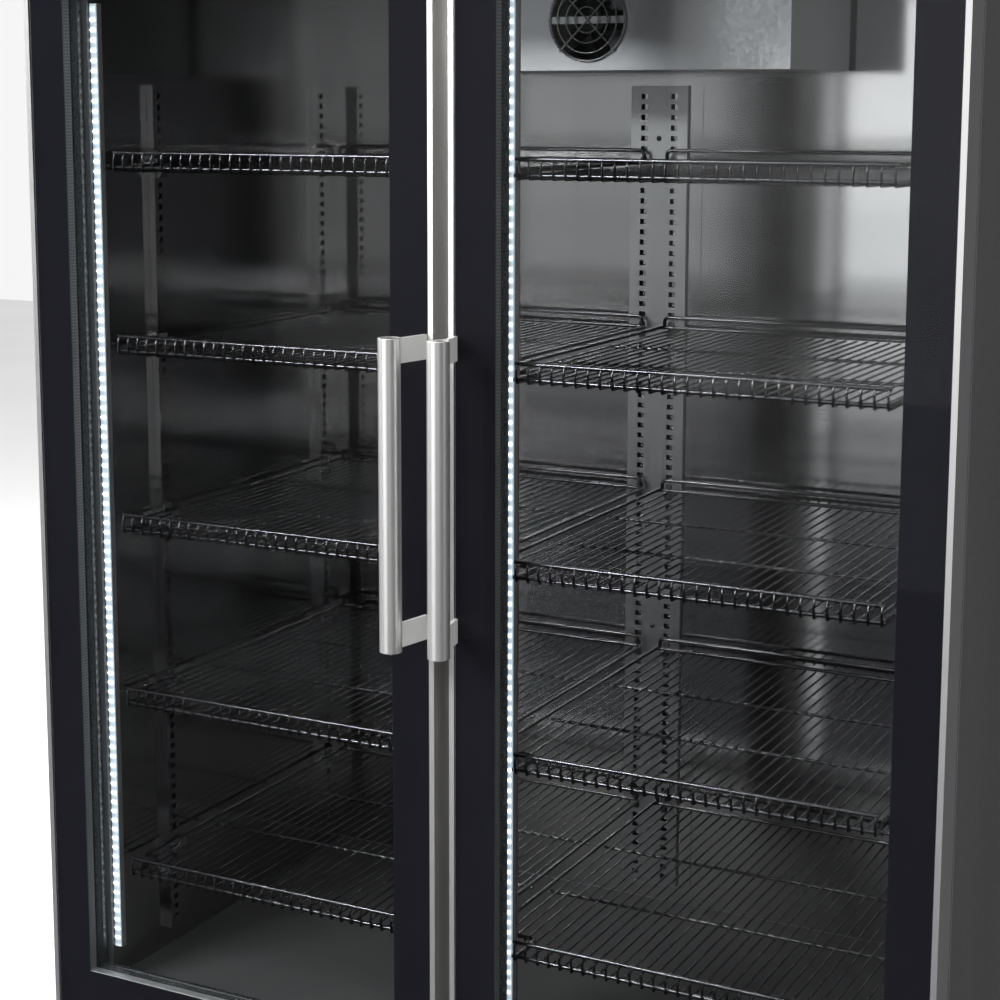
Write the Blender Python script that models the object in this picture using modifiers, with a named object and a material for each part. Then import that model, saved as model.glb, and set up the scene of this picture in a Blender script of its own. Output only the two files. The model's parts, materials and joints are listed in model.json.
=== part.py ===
"""Two-door glass merchandiser: an upright refrigerated display cabinet.

Metres, +X to the cabinet's right, +Y to its back, +Z up. The origin is on the floor, under the
middle of the cabinet's bounding box. Depths are counted from the front face of the doors.
"""
import math

import bmesh
import bpy
from mathutils import Matrix, Vector

# ---- driving dimensions -------------------------------------------------------------------------
GAP = 0.0003                # running gap between touching pieces
SHEET = 0.0015              # sheet metal

CABINET_HALF_WIDTH = 0.650
CABINET_HEIGHT = 2.000
BODY_DEPTH = 0.756          # door face to back panel
HANDLE_REACH = 0.0834       # door face to the front of the handle bars
INLET_PROUD = 0.002         # how far the power inlet's flange stands off the back
FRONT_Y = HANDLE_REACH - (HANDLE_REACH + BODY_DEPTH + INLET_PROUD) / 2

BASE_Z = 0.100              # underside of the insulated body
DECK_Z = 1.730              # top of the insulated body
BODY_FRONT = 0.057          # depth of the face that the door gaskets close on
FRAME_PLATE = 0.003

LINER_HALF_WIDTH = 0.588    # clear inside of the cabinet
LINER_FLOOR_Z = 0.190
LINER_CEILING_Z = 1.660
LINER_BACK = 0.706

MULLION_HALF_WIDTH = 0.058
MULLION_BACK = 0.105

DOOR_INNER_X = 0.011        # free edge, next to the other door
DOOR_OUTER_X = 0.650        # hinge edge
DOOR_BOTTOM_Z = 0.155
DOOR_TOP_Z = 1.725
DOOR_THICKNESS = 0.052
DOOR_TRIM = 0.0072          # bright edge of the door frame round the glass
PANE = 0.004
SPACER_DEPTH = 0.016        # gap between the two panes
UNIT_MARGIN = 0.019         # door edge to the inner pane's pocket
OPENING_INNER_X = 0.0625    # see-through opening of the door frame
OPENING_OUTER_X = 0.600
OPENING_MARGIN_Z = 0.055

HINGE_X = 0.636             # pivot line of a door
HINGE_DEPTH = 0.020
PIN_RADIUS = 0.005
PIN_ENGAGEMENT = 0.014

BAR_X = 0.0343              # handle bars
BAR_DEPTH = -0.0691
BAR_RADIUS = 0.01425
BAR_CENTRE_Z = 0.992
BAR_LENGTH = 0.397
BRACKET_HEIGHT = 0.0315
BRACKET_THICKNESS = 0.0052
BRACKET_FOOT_X = 0.0188     # where a bracket's inner face meets the door
BRACKET_END_INSET = 0.002

SHELF_TOP_Z = 1.386         # grid level of the highest shelf
SHELF_PITCH = 0.256         # sixteen slots of 16 mm
SHELVES_PER_BAY = 5
SHELF_INNER_X = 0.010
SHELF_OUTER_X = 0.5765
SHELF_FRONT = 0.060         # depth of the front rail's centre line
SHELF_NOTCH = 0.121         # depth where the shelf widens behind the mullion
SHELF_MIDDLE = 0.400
SHELF_REAR = 0.685
RAIL_HEIGHT = 0.020         # front rail above the grid
REAR_STOP_HEIGHT = 0.016
ROD = 0.006
FENCE_RIGHT = (0.0773, 0.5558)   # first and last upright of the front rail
FENCE_LEFT = (0.0773, 0.5470)

PILASTER_BOTTOM_Z = 0.220
PILASTER_TOP_Z = 1.500
PILASTER_HALF_WIDTH = 0.0465
PILASTER_FACE = 0.698
PILASTER_FLANGE = 0.069
SIDE_PILASTER_DEPTHS = {"front": 0.200, "rear": 0.643}
SIDE_PILASTER_WIDTH = 0.024
SIDE_PILASTER_PROUD = 0.011

LIGHT_WIDTH = 0.014
LIGHT_DEPTH = 0.010
LIGHT_STANDOFF = 0.0015     # the wall to the strip
LIGHT_BOTTOM_Z = 0.240
LIGHT_TOP_Z = 1.610

FOOT_X = 0.570
FOOT_DEPTHS = {"front": 0.130, "rear": 0.690}
FOOT_PAD_RADIUS = 0.024
FOOT_STEM_RADIUS = 0.006
FOOT_SOCKET_DEPTH = 0.030   # threaded sockets hanging under the base pan
FOOT_ROOM = 0.010           # how much further the stem can be screwed in

CONTROL_X = 0.220           # temperature controller in the header
CONTROL_Z = 1.870
CONTROL_HALF = (0.0350, 0.0140)
SWITCH_X = 0.320            # light switch beside it
SWITCH_DEPTH = 0.0015       # depth of the rocker's pivot line
SWITCH_HALF = (0.0100, 0.0070)

INLET_X = 0.520             # power inlet in the back
INLET_Z = 1.790
INLET_HALF = (0.0135, 0.0100)

FAN_Z = 1.864
CONDENSER_FAN_X = -0.180
CONDENSER_FAN_DEPTH = 0.205
CONDENSER_FAN_RADIUS = 0.095
UNIT_TOP_Z = 1.975          # top of the condenser coil and its fan shroud
COMPRESSOR_X = 0.300
COMPRESSOR_DEPTH = 0.480
EVAPORATOR_FAN_DEPTH = 0.455
EVAPORATOR_FAN_Z = 1.590
EVAPORATOR_FAN_RADIUS = 0.052
EVAPORATOR_HALF_WIDTH = 0.300
EVAPORATOR_DEPTHS = (0.430, 0.690)
EVAPORATOR_BOTTOM_Z = 1.520

THROUGH = 0.010             # how far a cutter reaches past the face it opens


# ---- scene and helpers --------------------------------------------------------------------------
for old in list(bpy.data.objects):
    bpy.data.objects.remove(old, do_unlink=True)

PARTS = bpy.data.collections.new("glass_door_merchandiser")
CUTTERS = bpy.data.collections.new("cutters")
for collection in (PARTS, CUTTERS):
    bpy.context.scene.collection.children.link(collection)


def at(x, depth, z):
    """A world point from its sideways place, its depth behind the door face and its height."""
    return Vector((x, FRONT_Y + depth, z))


def material(name, colour, roughness, metallic=0.0, alpha=1.0):
    mat = bpy.data.materials.new(name)
    mat.use_nodes = True
    shader = mat.node_tree.nodes["Principled BSDF"]
    shader.inputs["Base Color"].default_value = (*colour, 1.0)
    shader.inputs["Roughness"].default_value = roughness
    shader.inputs["Metallic"].default_value = metallic
    shader.inputs["Alpha"].default_value = alpha
    return mat


STEEL_DARK = material("painted_steel_dark", (0.045, 0.045, 0.048), 0.45)
BLACK_PANEL = material("black_panel", (0.008, 0.008, 0.010), 0.25)
STAINLESS = material("brushed_stainless", (0.56, 0.56, 0.55), 0.30, 1.0)
ALUMINIUM = material("satin_aluminium", (0.72, 0.72, 0.72), 0.32, 1.0)
GALVANISED = material("galvanised_steel", (0.45, 0.46, 0.47), 0.45, 1.0)
WIRE_BLACK = material("black_coated_wire", (0.010, 0.010, 0.011), 0.22)
GLASS = material("clear_glass", (0.80, 0.85, 0.84), 0.03, 0.0, 0.25)
RUBBER = material("dark_gasket", (0.030, 0.034, 0.034), 0.65)
FOAM = material("polyurethane_foam", (0.80, 0.72, 0.45), 0.90)
PLASTIC_BLACK = material("black_plastic", (0.015, 0.015, 0.016), 0.45)
LIGHT = material("light_strip", (0.85, 0.90, 0.92), 0.30)
COMPRESSOR_BLACK = material("compressor_enamel", (0.012, 0.012, 0.013), 0.35)


def new_object(name, mesh, location, mat=None, parent=None, collection=PARTS):
    """Link an object whose mesh is drawn about its own origin, with the origin at a world point."""
    obj = bpy.data.objects.new(name, mesh)
    collection.objects.link(obj)
    obj.location = location
    if parent is not None:
        obj.parent = parent
        obj.location = Vector(location) - parent.location
    if mat is not None:
        mesh.materials.append(mat)
    return obj


def pivot(name, location):
    """An empty on a moving piece's joint."""
    empty = bpy.data.objects.new(name, None)
    PARTS.objects.link(empty)
    empty.location = location
    return empty


def box_mesh(name, blocks, origin):
    """A mesh of separate blocks, each (low corner, high corner) in world coordinates."""
    bm = bmesh.new()
    for low, high in blocks:
        low, high = Vector(low), Vector(high)
        size = high - low
        middle = (low + high) / 2 - Vector(origin)
        transform = Matrix.Translation(middle) @ Matrix.Diagonal((*size, 1.0))
        bmesh.ops.create_cube(bm, size=1.0, matrix=transform)
    mesh = bpy.data.meshes.new(name)
    bm.to_mesh(mesh)
    bm.free()
    return mesh


def box(name, low, high, mat, parent=None):
    origin = (Vector(low) + Vector(high)) / 2
    return new_object(name, box_mesh(name, [(low, high)], origin), origin, mat, parent)


def round_mesh(name, radius, length, axis, sides=32):
    """A cylinder along an axis, centred on the origin."""
    bm = bmesh.new()
    turn = Vector((0, 0, 1)).rotation_difference(Vector(axis)).to_matrix().to_4x4()
    bmesh.ops.create_cone(bm, cap_ends=True, segments=sides, radius1=radius, radius2=radius,
                          depth=length, matrix=turn)
    mesh = bpy.data.meshes.new(name)
    bm.to_mesh(mesh)
    bm.free()
    mesh.shade_smooth()
    mesh.set_sharp_from_angle(angle=math.radians(30))
    return mesh


def rod(name, start, end, radius, mat, parent=None, sides=32):
    start, end = Vector(start), Vector(end)
    mesh = round_mesh(name, radius, (end - start).length, end - start, sides=sides)
    return new_object(name, mesh, (start + end) / 2, mat, parent)


def combine(obj, tool, operation):
    """Cut or join an object with a helper, which is kept in the cutters' collection."""
    tool.hide_render = True
    tool.display_type = "WIRE"
    if obj.parent is not None:
        tool.parent = obj.parent
        tool.location = tool.location - obj.parent.location
    modifier = obj.modifiers.new(tool.name, "BOOLEAN")
    modifier.operation = operation
    modifier.solver = "EXACT"
    modifier.object = tool


def cut_blocks(obj, blocks):
    name = f"{obj.name}_cut_{len(obj.modifiers)}"
    origin = obj.matrix_basis.translation.copy()
    if obj.parent is not None:
        origin = origin + obj.parent.location
    tool = new_object(name, box_mesh(name, blocks, origin), origin, collection=CUTTERS)
    combine(obj, tool, "DIFFERENCE")


def join_blocks(obj, blocks):
    name = f"{obj.name}_join_{len(obj.modifiers)}"
    tool = new_object(name, box_mesh(name, blocks, Vector()), Vector(), collection=CUTTERS)
    combine(obj, tool, "UNION")


def cut_round(obj, start, end, radius, sides=32):
    name = f"{obj.name}_bore_{len(obj.modifiers)}"
    start, end = Vector(start), Vector(end)
    mesh = round_mesh(name, radius, (end - start).length, end - start, sides=sides)
    tool = new_object(name, mesh, (start + end) / 2, collection=CUTTERS)
    combine(obj, tool, "DIFFERENCE")


def join_round(obj, start, end, radius, sides=32):
    name = f"{obj.name}_boss_{len(obj.modifiers)}"
    start, end = Vector(start), Vector(end)
    mesh = round_mesh(name, radius, (end - start).length, end - start, sides=sides)
    tool = new_object(name, mesh, (start + end) / 2, collection=CUTTERS)
    combine(obj, tool, "UNION")


def block(low_corner, high_corner):
    """The corners of a block from two (x, depth, z) corners."""
    return at(*low_corner), at(*high_corner)


def face_block(x, z, half_size, depths):
    """A block centred on a point of an upright face, between two depths."""
    half_x, half_z = half_size
    return block((x - half_x, depths[0], z - half_z), (x + half_x, depths[1], z + half_z))


def grown(half_size, margin):
    return tuple(half + margin for half in half_size)


# ---- insulated body -----------------------------------------------------------------------------
SKIN_X = CABINET_HALF_WIDTH - SHEET - GAP          # inside of the outer side panels
SHELL_FRONT = BODY_FRONT + FRAME_PLATE + GAP       # depth where the shell starts behind the frame
SHELL_BACK = BODY_DEPTH - SHEET - GAP


def build_outer_skin():
    for side, name in ((-1, "outer_side_left"), (1, "outer_side_right")):
        edges = sorted((side * (CABINET_HALF_WIDTH - SHEET), side * CABINET_HALF_WIDTH))
        box(name, at(edges[0], SHELL_FRONT, BASE_Z), at(edges[1], BODY_DEPTH, CABINET_HEIGHT),
            STEEL_DARK)
    back = box("outer_back", at(-SKIN_X, BODY_DEPTH - SHEET, BASE_Z),
               at(SKIN_X, BODY_DEPTH, CABINET_HEIGHT), GALVANISED)
    through = (BODY_DEPTH - THROUGH, BODY_DEPTH + THROUGH)
    slot_half = (0.160, 0.005)
    rows = [DECK_Z + 0.055 + row * 0.030 for row in range(6)]
    cut_blocks(back, [face_block(x, z, slot_half, through) for x in (-0.25, 0.25) for z in rows])
    cut_blocks(back, [face_block(INLET_X, INLET_Z, grown(INLET_HALF, 0.0005), through)])
    box("top_cover", at(-SKIN_X, SHELL_FRONT, CABINET_HEIGHT - SHEET),
        at(SKIN_X, SHELL_BACK, CABINET_HEIGHT), STEEL_DARK)
    box("unit_deck", at(-SKIN_X, SHELL_FRONT, DECK_Z - SHEET), at(SKIN_X, SHELL_BACK, DECK_Z),
        GALVANISED)


def build_insulation():
    liner_out_x = LINER_HALF_WIDTH + SHEET
    liner_low = at(-liner_out_x, SHELL_FRONT, LINER_FLOOR_Z - SHEET)
    liner_high = at(liner_out_x, LINER_BACK + SHEET, LINER_CEILING_Z + SHEET)
    liner = box("inner_liner", liner_low, liner_high, STAINLESS)
    cut_blocks(liner, [(at(-LINER_HALF_WIDTH, 0.0, LINER_FLOOR_Z),
                        at(LINER_HALF_WIDTH, LINER_BACK, LINER_CEILING_Z))])
    foam = box("foam_insulation", at(-SKIN_X, SHELL_FRONT, BASE_Z + SHEET + GAP),
               at(SKIN_X, SHELL_BACK, DECK_Z - SHEET - GAP), FOAM)
    room = Vector((GAP, GAP, GAP))
    open_front = Vector((0.0, THROUGH, 0.0))
    cut_blocks(foam, [(liner_low - room - open_front, liner_high + room)])


def build_front_frame():
    frame = box("front_frame", at(-CABINET_HALF_WIDTH, BODY_FRONT, BASE_Z),
                at(CABINET_HALF_WIDTH, BODY_FRONT + FRAME_PLATE, DECK_Z), STAINLESS)
    cut_blocks(frame, [block((-LINER_HALF_WIDTH, BODY_FRONT - THROUGH, LINER_FLOOR_Z),
                             (LINER_HALF_WIDTH, BODY_FRONT + THROUGH, LINER_CEILING_Z))])
    mullion = box("centre_mullion", at(-MULLION_HALF_WIDTH, BODY_FRONT, LINER_FLOOR_Z + GAP),
                  at(MULLION_HALF_WIDTH, MULLION_BACK, LINER_CEILING_Z - GAP), STAINLESS)
    wall = 0.002
    cut_blocks(mullion, [block((wall - MULLION_HALF_WIDTH, BODY_FRONT + wall, 0.0),
                               (MULLION_HALF_WIDTH - wall, MULLION_BACK - wall, CABINET_HEIGHT))])


def build_base():
    base = box("base_pan", at(-SKIN_X, SHELL_FRONT, BASE_Z), at(SKIN_X, SHELL_BACK, BASE_Z + SHEET),
               GALVANISED)
    spots = [(x, depth) for x in (-FOOT_X, FOOT_X) for depth in FOOT_DEPTHS.values()]
    for x, depth in spots:
        join_round(base, at(x, depth, BASE_Z - FOOT_SOCKET_DEPTH), at(x, depth, BASE_Z + SHEET / 2),
                   0.014)
    for x, depth in spots:
        cut_round(base, at(x, depth, BASE_Z - FOOT_SOCKET_DEPTH - THROUGH), at(x, depth, BASE_Z - 0.002),
                  FOOT_STEM_RADIUS + 0.0004)


def build_feet():
    for side, side_name in ((-1, "left"), (1, "right")):
        for place, depth in FOOT_DEPTHS.items():
            x = side * FOOT_X
            name = f"foot_{place}_{side_name}"
            axis = pivot(f"{name}_axis", at(x, depth, 0.0))
            pad = rod(name, at(x, depth, 0.0), at(x, depth, 0.014), FOOT_PAD_RADIUS, PLASTIC_BLACK, axis)
            join_round(pad, at(x, depth, 0.012), at(x, depth, 0.026), FOOT_PAD_RADIUS / 2)
            join_round(pad, at(x, depth, 0.024), at(x, depth, BASE_Z - 0.002 - FOOT_ROOM),
                       FOOT_STEM_RADIUS)


def build_header():
    low = at(-CABINET_HALF_WIDTH, 0.0, DECK_Z + 0.005)
    high = at(CABINET_HALF_WIDTH, SHELL_FRONT - GAP, CABINET_HEIGHT)
    header = box("header_panel", low, high, BLACK_PANEL)
    inside_low = low + Vector((SHEET, SHEET, SHEET))
    cut_blocks(header, [(inside_low, high + Vector((-SHEET, THROUGH, -SHEET)))])
    through = (-THROUGH, THROUGH)
    rows = [DECK_Z + 0.0745 + row * 0.024 for row in range(6)]
    cut_blocks(header, [face_block(CONDENSER_FAN_X, z, (0.160, 0.0045), through) for z in rows])
    cut_blocks(header, [face_block(CONTROL_X, CONTROL_Z, grown(CONTROL_HALF, 0.0005), through),
                        face_block(SWITCH_X, CONTROL_Z, grown(SWITCH_HALF, 0.0015), through)])


# ---- controls and power -------------------------------------------------------------------------
def build_controls():
    low, high = face_block(CONTROL_X, CONTROL_Z, CONTROL_HALF, (SHEET + 0.001, 0.050))
    controller = box("controller", low, high, PLASTIC_BLACK)
    join_blocks(controller, [face_block(CONTROL_X, CONTROL_Z, grown(CONTROL_HALF, -0.0005),
                                        (-0.001, THROUGH))])
    join_blocks(controller, [face_block(CONTROL_X, CONTROL_Z, grown(CONTROL_HALF, 0.0045),
                                        (-0.004, -GAP))])
    axis = pivot("light_switch_axis", at(SWITCH_X, SWITCH_DEPTH, CONTROL_Z))
    rocker = (SWITCH_DEPTH - 0.0045, SWITCH_DEPTH + 0.0045)
    low, high = face_block(SWITCH_X, CONTROL_Z, SWITCH_HALF, rocker)
    box("light_switch", low, high, PLASTIC_BLACK, axis)

    low, high = face_block(INLET_X, INLET_Z, INLET_HALF, (BODY_DEPTH - 0.025, BODY_DEPTH + 0.001))
    inlet = box("power_inlet", low, high, PLASTIC_BLACK)
    join_blocks(inlet, [face_block(INLET_X, INLET_Z, grown(INLET_HALF, 0.005),
                                   (BODY_DEPTH + GAP, BODY_DEPTH + INLET_PROUD))])
    cut_blocks(inlet, [face_block(INLET_X, INLET_Z, grown(INLET_HALF, -0.002),
                                  (BODY_DEPTH - 0.018, BODY_DEPTH + THROUGH))])


# ---- inside fittings ----------------------------------------------------------------------------
def build_pilasters():
    back = LINER_BACK - GAP
    low, high = block((-PILASTER_HALF_WIDTH, PILASTER_FACE, PILASTER_BOTTOM_Z),
                      (PILASTER_HALF_WIDTH, back, PILASTER_TOP_Z))
    centre = box("pilaster_centre", low, high, STAINLESS)
    inset = 0.001
    join_blocks(centre, [block((-PILASTER_FLANGE, back - 0.0012, PILASTER_BOTTOM_Z + inset),
                               (PILASTER_FLANGE, back, PILASTER_TOP_Z - inset))])
    wall = LINER_HALF_WIDTH - GAP
    for side, side_name in ((-1, "left"), (1, "right")):
        edges = sorted((side * (wall - SIDE_PILASTER_PROUD), side * wall))
        for place, depth in SIDE_PILASTER_DEPTHS.items():
            low, high = block((edges[0], depth - SIDE_PILASTER_WIDTH / 2, PILASTER_BOTTOM_Z),
                              (edges[1], depth + SIDE_PILASTER_WIDTH / 2, PILASTER_TOP_Z))
            box(f"pilaster_{side_name}_{place}", low, high, STAINLESS)


def build_shelf(name, side, fence, level):
    """A wire shelf, plain: long wires with both ends turned up, crossing rods, front and rear rails."""
    half = ROD / 2
    slim = half - 0.0004
    thin = half - 0.0008
    inset = 0.001
    inner, outer = fence
    wide = (SHELF_INNER_X, SHELF_OUTER_X)

    def bar(x_range, depth_range, z_range):
        first, last = sorted((side * x_range[0], side * x_range[1]))
        return block((first, depth_range[0], z_range[0]), (last, depth_range[1], z_range[1]))

    def crossing(x_range, depth, z):
        return bar(x_range, (depth - half, depth + half), (z - half, z + half))

    def running(x, front):
        return bar((x - slim, x + slim), (front - half + inset, SHELF_REAR + half - inset),
                   (level - slim, level + slim))

    def upright(x, depth, height):
        return bar((x - thin, x + thin), (depth - thin, depth + thin), (level, level + height))

    fence_span = (inner - half, outer + half)
    stop_span = (SHELF_INNER_X + ROD, SHELF_OUTER_X - ROD)
    crossings = [
        crossing(fence_span, SHELF_FRONT, level),
        crossing(fence_span, SHELF_FRONT, level + RAIL_HEIGHT),
        crossing(wide, SHELF_NOTCH, level),
        crossing(wide, SHELF_MIDDLE, level),
        crossing(wide, SHELF_REAR, level),
        crossing(stop_span, SHELF_REAR, level + REAR_STOP_HEIGHT),
    ]
    origin = at(side * (SHELF_INNER_X + SHELF_OUTER_X) / 2, SHELF_MIDDLE, level)
    shelf = new_object(name, box_mesh(name, crossings, origin), origin, WIRE_BLACK)
    fence_wires = (inner, (inner + outer) / 2, outer)
    side_wires = [running(x, SHELF_NOTCH) for x in (SHELF_INNER_X + half, SHELF_OUTER_X - half)]
    join_blocks(shelf, side_wires + [running(x, SHELF_FRONT) for x in fence_wires])
    fronts = [upright(x, SHELF_FRONT, RAIL_HEIGHT) for x in fence_wires]
    join_blocks(shelf, fronts + [upright(x, SHELF_REAR, REAR_STOP_HEIGHT) for x in fence_wires])


def build_shelves():
    for side, side_name, fence in ((-1, "left", FENCE_LEFT), (1, "right", FENCE_RIGHT)):
        for row in range(SHELVES_PER_BAY):
            level = SHELF_TOP_Z - row * SHELF_PITCH
            build_shelf(f"shelf_{side_name}_{row + 1}", side, fence, level)


def build_lights():
    """One light strip on the left of each opening: on the left wall and on the mullion."""
    front = BODY_FRONT + FRAME_PLATE
    walls = {"light_left_bay": -LINER_HALF_WIDTH, "light_right_bay": MULLION_HALF_WIDTH}
    for name, wall_x in walls.items():
        left = wall_x + LIGHT_STANDOFF
        low, high = block((left, front, LIGHT_BOTTOM_Z),
                          (left + LIGHT_WIDTH, front + LIGHT_DEPTH, LIGHT_TOP_Z))
        box(name, low, high, LIGHT)


# ---- refrigeration ------------------------------------------------------------------------------
def fan_blades(name, centre, radius, hub_radius, hub_length):
    """A hub with five pitched blades, turning about a line along Y."""
    axis = pivot(f"{name}_axis", centre)
    half = Vector((0.0, hub_length / 2, 0.0))
    hub = rod(name, centre - half, centre + half, hub_radius, PLASTIC_BLACK, axis, sides=24)
    root = hub_radius * 0.8
    place = Matrix.Translation(((radius + root) / 2, 0, 0))
    pitch = Matrix.Rotation(math.radians(32), 4, "X")
    size = Matrix.Diagonal((radius - root, 0.003, radius * 0.62, 1.0))
    bm = bmesh.new()
    for index in range(5):
        turn = Matrix.Rotation(index * math.tau / 5, 4, "Y")
        bmesh.ops.create_cube(bm, size=1.0, matrix=turn @ place @ pitch @ size)
    mesh = bpy.data.meshes.new(f"{name}_blades")
    bm.to_mesh(mesh)
    bm.free()
    blades = new_object(f"{name}_blades", mesh, centre, collection=CUTTERS)
    combine(hub, blades, "UNION")


def build_compressor():
    profile = [(0.0, 0.205), (0.030, 0.203), (0.062, 0.190), (0.078, 0.165), (0.080, 0.130),
               (0.082, 0.128), (0.082, 0.120), (0.080, 0.118), (0.080, 0.045), (0.070, 0.022),
               (0.045, 0.012), (0.0, 0.010)]
    mesh = bpy.data.meshes.new("compressor")
    edges = [(index, index + 1) for index in range(len(profile) - 1)]
    mesh.from_pydata([(radius, 0.0, height) for radius, height in profile], edges, [])
    place = at(COMPRESSOR_X, COMPRESSOR_DEPTH, DECK_Z)
    compressor = new_object("compressor", mesh, place, COMPRESSOR_BLACK)
    screw = compressor.modifiers.new("turned", "SCREW")
    screw.axis = "Z"
    screw.steps = 32
    screw.render_steps = 32
    screw.use_merge_vertices = True
    screw.merge_threshold = 0.0001
    plate = Vector((0.100, 0.055, 0.018))
    join_blocks(compressor, [(place + Vector((-plate.x, -plate.y, GAP)), place + plate)])


def build_condenser():
    left, right = CONDENSER_FAN_X - 0.140, CONDENSER_FAN_X + 0.140
    bottom = DECK_Z + GAP
    coil = box("condenser_coil", at(left, 0.105, bottom), at(right, 0.165, UNIT_TOP_Z), ALUMINIUM)
    fins = [left + 0.014 + index * 0.0145 for index in range(18)]
    cut_blocks(coil, [block((x, 0.105 - THROUGH, DECK_Z + 0.012), (x + 0.007, 0.125, UNIT_TOP_Z - 0.012))
                      for x in fins])
    shroud = box("condenser_fan_shroud", at(left, 0.1655, bottom), at(right, 0.180, UNIT_TOP_Z),
                 GALVANISED)
    cut_round(shroud, at(CONDENSER_FAN_X, 0.150, FAN_Z), at(CONDENSER_FAN_X, 0.250, FAN_Z),
              CONDENSER_FAN_RADIUS + 0.006)
    arms = [block((x, 0.172, FAN_Z - 0.009), (x + 0.005, 0.245, FAN_Z + 0.009))
            for x in (left + 0.001, right - 0.006)]
    join_blocks(shroud, arms)
    join_blocks(shroud, [block((left + 0.003, 0.240, FAN_Z - 0.008), (right - 0.003, 0.244, FAN_Z + 0.008))])
    join_round(shroud, at(CONDENSER_FAN_X, 0.222, FAN_Z), at(CONDENSER_FAN_X, 0.262, FAN_Z), 0.034)
    fan_blades("condenser_fan", at(CONDENSER_FAN_X, CONDENSER_FAN_DEPTH, FAN_Z),
               CONDENSER_FAN_RADIUS, 0.028, 0.030)


def build_evaporator():
    front, back = EVAPORATOR_DEPTHS
    low, high = block((-EVAPORATOR_HALF_WIDTH, front, EVAPORATOR_BOTTOM_Z),
                      (EVAPORATOR_HALF_WIDTH, back, LINER_CEILING_Z - GAP))
    housing = box("evaporator_housing", low, high, ALUMINIUM)
    wall = 0.002
    inside_high = high + Vector((-wall, THROUGH, THROUGH))
    cut_blocks(housing, [(low + Vector((wall, wall, wall)), inside_high)])
    cut_round(housing, at(0.0, front - THROUGH, EVAPORATOR_FAN_Z),
              at(0.0, front + THROUGH, EVAPORATOR_FAN_Z), EVAPORATOR_FAN_RADIUS + 0.004)
    join_blocks(housing, [face_block(0.0, EVAPORATOR_FAN_Z, (0.100, 0.005), (front + 0.0005, front + 0.0025))])
    coil_low, coil_high = block((-0.260, 0.520, EVAPORATOR_BOTTOM_Z + 0.010),
                                (0.260, 0.670, LINER_CEILING_Z - 0.010))
    box("evaporator_coil", coil_low, coil_high, ALUMINIUM)
    fan_blades("evaporator_fan", at(0.0, EVAPORATOR_FAN_DEPTH, EVAPORATOR_FAN_Z),
               EVAPORATOR_FAN_RADIUS, 0.018, 0.024)


# ---- doors --------------------------------------------------------------------------------------
def build_hinge_brackets(side, side_name):
    """A plate on the cabinet's front with a pin into the door, above and below it."""
    edges = sorted((side * 0.612, side * 0.648))
    ends = (("top", DOOR_TOP_Z, 1), ("bottom", DOOR_BOTTOM_Z, -1))
    for end, door_z, away in ends:
        plate = sorted((door_z + away * 0.0025, door_z + away * 0.0085))
        low, high = block((edges[0], 0.008, plate[0]), (edges[1], BODY_FRONT - GAP, plate[1]))
        bracket = box(f"hinge_{side_name}_{end}", low, high, STAINLESS)
        pin_foot, pin_tip = sorted((door_z + away * 0.005, door_z - away * PIN_ENGAGEMENT))
        join_round(bracket, at(side * HINGE_X, HINGE_DEPTH, pin_foot),
                   at(side * HINGE_X, HINGE_DEPTH, pin_tip), PIN_RADIUS, sides=24)


def build_door(side, side_name):
    hinge = pivot(f"door_{side_name}_hinge", at(side * HINGE_X, HINGE_DEPTH, 0.0))

    def slab(x_range, depth_range, z_range):
        first, last = sorted((side * x_range[0], side * x_range[1]))
        return block((first, depth_range[0], z_range[0]), (last, depth_range[1], z_range[1]))

    def inset_slab(margin, depth_range):
        return slab((DOOR_INNER_X + margin, DOOR_OUTER_X - margin), depth_range,
                    (DOOR_BOTTOM_Z + margin, DOOR_TOP_Z - margin))

    unit_depth = PANE + SPACER_DEPTH + PANE
    frame = box(f"door_frame_{side_name}", *inset_slab(0.0, (0.0, DOOR_THICKNESS)), ALUMINIUM, hinge)
    cut_blocks(frame, [inset_slab(DOOR_TRIM, (-THROUGH, PANE + GAP))])
    cut_blocks(frame, [inset_slab(UNIT_MARGIN, (-THROUGH, unit_depth + GAP))])
    opening_z = (DOOR_BOTTOM_Z + OPENING_MARGIN_Z, DOOR_TOP_Z - OPENING_MARGIN_Z)
    cut_blocks(frame, [slab((OPENING_INNER_X, OPENING_OUTER_X), (-THROUGH, DOOR_THICKNESS + THROUGH),
                            opening_z)])
    bore = PIN_ENGAGEMENT + 0.001
    for low_z, high_z in ((DOOR_BOTTOM_Z - THROUGH, DOOR_BOTTOM_Z + bore),
                          (DOOR_TOP_Z - bore, DOOR_TOP_Z + THROUGH)):
        cut_round(frame, at(side * HINGE_X, HINGE_DEPTH, low_z), at(side * HINGE_X, HINGE_DEPTH, high_z),
                  PIN_RADIUS + 0.0004, sides=24)

    box(f"door_outer_glass_{side_name}", *inset_slab(DOOR_TRIM + GAP, (0.0, PANE)), GLASS, hinge)
    box(f"door_inner_glass_{side_name}",
        *inset_slab(UNIT_MARGIN + GAP, (PANE + SPACER_DEPTH, unit_depth)), GLASS, hinge)

    seal_x = (0.016, HINGE_X)
    seal_z = (DOOR_BOTTOM_Z + 0.010, DOOR_TOP_Z - 0.013)
    seal_width = 0.014
    seal = box(f"door_gasket_{side_name}",
               *slab(seal_x, (DOOR_THICKNESS + GAP, BODY_FRONT - GAP), seal_z), RUBBER, hinge)
    cut_blocks(seal, [slab((seal_x[0] + seal_width, seal_x[1] - seal_width), (0.0, 2 * BODY_FRONT),
                           (seal_z[0] + seal_width, seal_z[1] - seal_width))])
    build_handle(side, side_name, hinge)


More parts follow.
